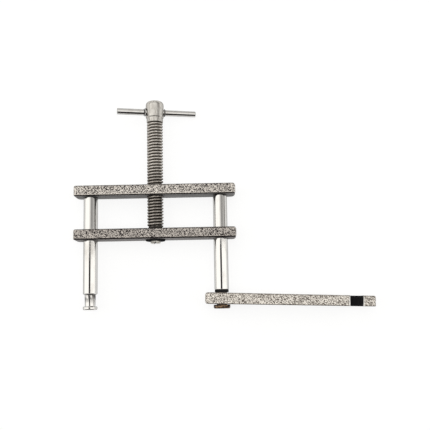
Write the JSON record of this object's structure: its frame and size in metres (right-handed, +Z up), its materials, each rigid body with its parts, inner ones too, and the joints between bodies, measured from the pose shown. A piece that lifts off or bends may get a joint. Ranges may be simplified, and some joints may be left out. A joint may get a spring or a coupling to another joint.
{
  "type": "two-post screw press clamp",
  "caption": "Small two-post screw press clamp, with a spindle and tommy bar driving a pressure bar between two posts, and a bottom bar that swings open.",
  "frame": {"origin": "on the bench, under the middle of the whole press's box as it lies on its back with the arm swung open", "axes": "+X along the bars towards the open arm's tip, +Y along the spindle towards the tommy bar, +Z up from the bench"},
  "size_m": [0.1464, 0.1054, 0.012],
  "materials": {
    "cast_nickel": "nickel plate over a fine granular cast surface",
    "polished_nickel": "bright polished nickel plate",
    "satin_nickel": "satin nickel plate over turned steel",
    "black_oxide": "dull black oxide",
    "bronzed_steel": "dark bronze, worn bright in streaks"
  },
  "bodies": {
    "frame": {"top_bar": "cast_nickel", "left_post": "polished_nickel", "right_post": "polished_nickel", "pivot_washer": "black_oxide", "pivot_screw": "bronzed_steel"},
    "jaw": {"pressure_bar": "cast_nickel"},
    "spindle_body": {"spindle": "satin_nickel", "tommy_bar": "polished_nickel", "retaining_washer": "black_oxide", "retaining_screw": "satin_nickel"},
    "arm": {"swing_arm": "cast_nickel"}
  },
  "joints": [
    {"name": "jaw_slide", "type": "slide", "parent": "frame", "child": "jaw", "axis": [0, 1, 0], "range_m": [-0.024, 0.015]},
    {"name": "spindle_turn", "type": "hinge", "parent": "jaw", "child": "spindle_body", "pos_m": [-0.03324, -0.0178, 0.006], "axis": [0, 1, 0], "range_deg": [-5765, 3605]},
    {"name": "arm_swing", "type": "hinge", "parent": "frame", "child": "arm", "pos_m": [-0.00099, -0.04734, 0.006], "axis": [0.0203, 0.9998, 0], "range_deg": [-180, 165]}
  ],
  "couplings": [
    {"joint": "spindle_turn", "follows": "jaw_slide", "rad_per_m": 4188.8}
  ]
}
